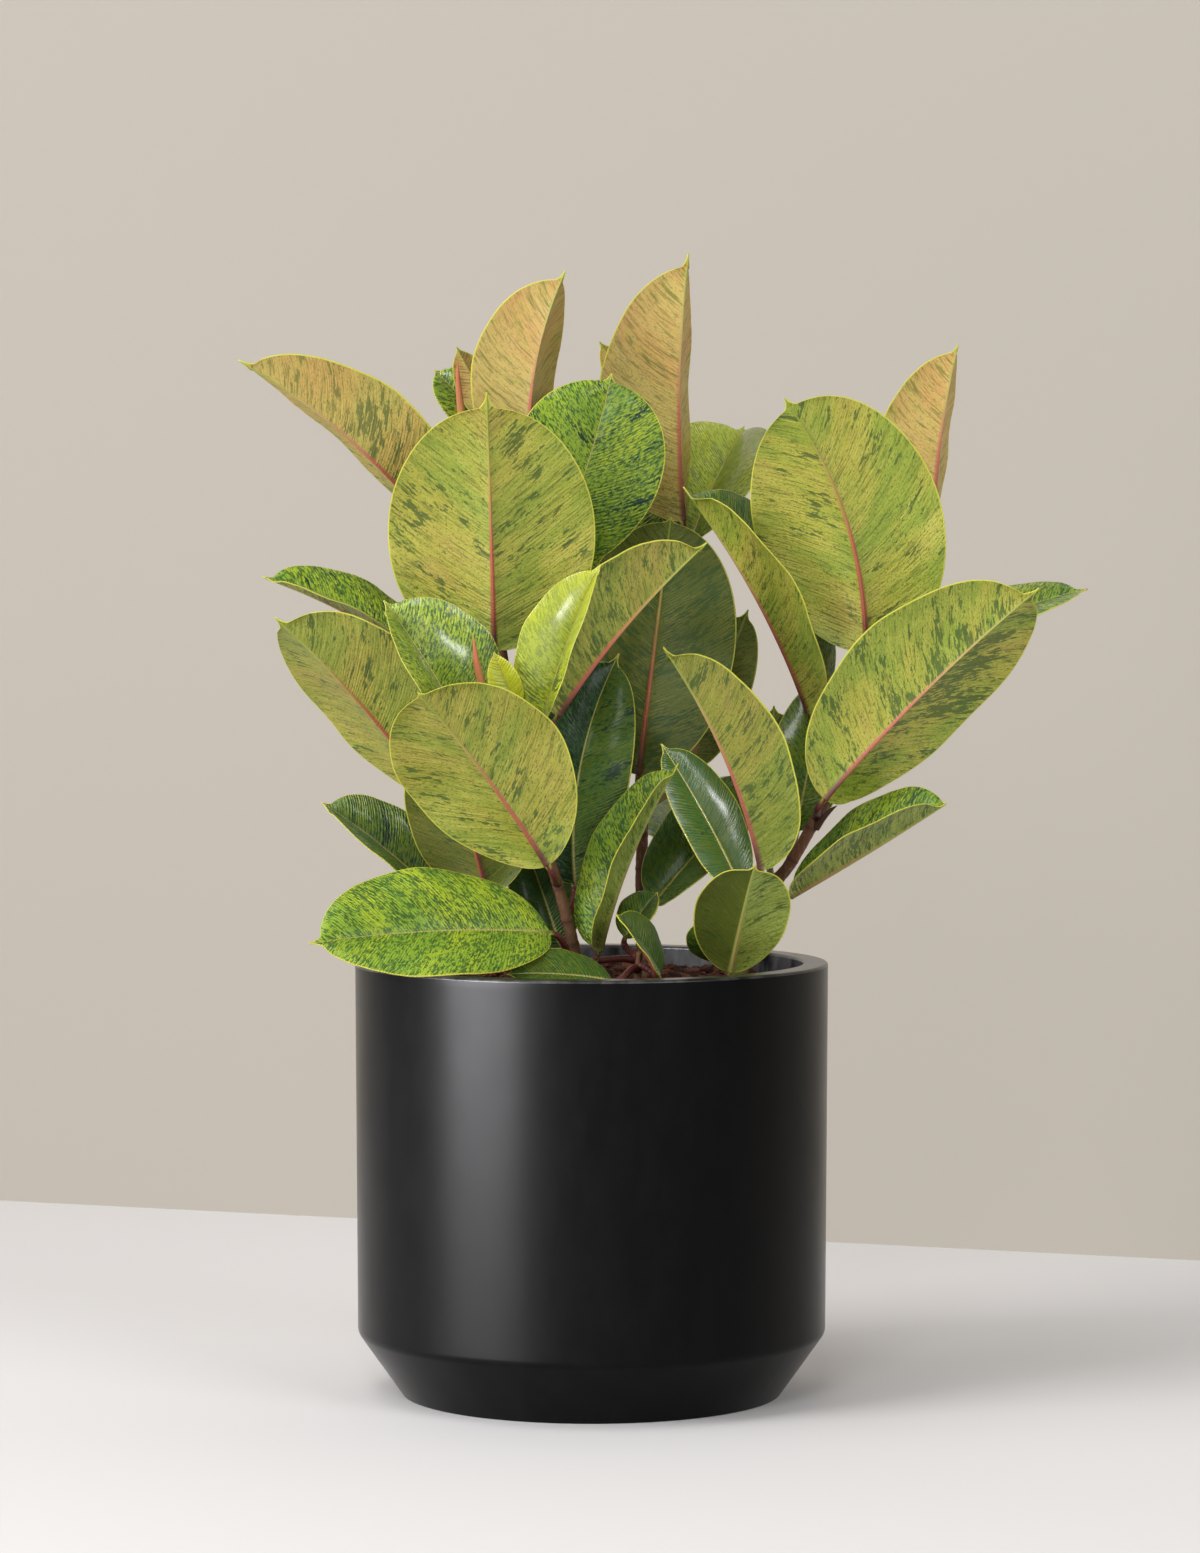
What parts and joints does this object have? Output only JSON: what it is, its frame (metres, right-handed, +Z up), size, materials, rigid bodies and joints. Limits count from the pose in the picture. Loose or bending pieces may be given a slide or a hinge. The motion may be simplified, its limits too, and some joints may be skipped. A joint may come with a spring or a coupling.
{
  "type": "potted rubber plant",
  "caption": "Variegated rubber plant with woody stems and broad leaves, growing in a round black planter that stands on its own flat base.",
  "frame": {"origin": "on the planter's axis, on the plane that its foot stands on", "axes": "+Z up; -Y towards the viewer of the reference view; +X to that viewer's right"},
  "size_m": [0.5576, 0.3561, 0.7521],
  "materials": {
    "planter": "matt black, slightly satin",
    "mix": "damp bark chips and coir",
    "wood": "smooth brown bark with leaf scars",
    "shoot": "young green bark",
    "sheath": "smooth salmon-pink bud sheath",
    "green": "waxy upper side, bright green with dark green patches",
    "olive": "satin underside, yellow-green with dark flecks",
    "dark": "waxy, deep green",
    "young": "satin, peach to yellow"
  },
  "bodies": {
    "root": {"planter": "planter", "growing_mix": "mix", "front_stem": "wood", "left_stem": "wood", "middle_stem": "wood", "right_stem": "wood", "low_shoot": "shoot", "side_shoot": "shoot", "left_sheath": "sheath", "front_sheath": "sheath", "leaf_left_01": "olive", "leaf_left_02": "young", "leaf_left_03": "green", "leaf_left_04": "young", "leaf_left_05": "olive", "leaf_left_06": "green", "leaf_left_07": "green", "leaf_left_08": "dark", "leaf_left_09": "olive", "leaf_front_01": "green", "leaf_front_02": "dark", "leaf_front_03": "olive", "leaf_front_04": "olive", "leaf_front_05": "olive", "leaf_front_06": "green", "leaf_front_07": "green", "leaf_front_08": "young", "leaf_front_09": "green", "leaf_front_10": "dark", "leaf_middle_01": "young", "leaf_middle_02": "young", "leaf_middle_03": "green", "leaf_middle_04": "green", "leaf_middle_05": "dark", "leaf_middle_06": "dark", "leaf_middle_07": "olive", "leaf_middle_08": "dark", "leaf_right_01": "young", "leaf_right_02": "olive", "leaf_right_03": "olive", "leaf_right_04": "olive", "leaf_right_05": "green", "leaf_right_06": "olive", "leaf_right_07": "dark", "leaf_right_08": "green", "leaf_right_09": "dark", "leaf_right_10": "olive", "leaf_low_01": "dark", "leaf_low_02": "dark", "leaf_low_03": "dark", "leaf_side_01": "green", "leaf_side_02": "dark", "leaf_back_01": "green", "leaf_back_02": "green", "leaf_back_03": "green", "leaf_back_04": "green", "leaf_back_05": "dark", "leaf_back_06": "green", "leaf_back_07": "green"}
  },
  "joints": []
}
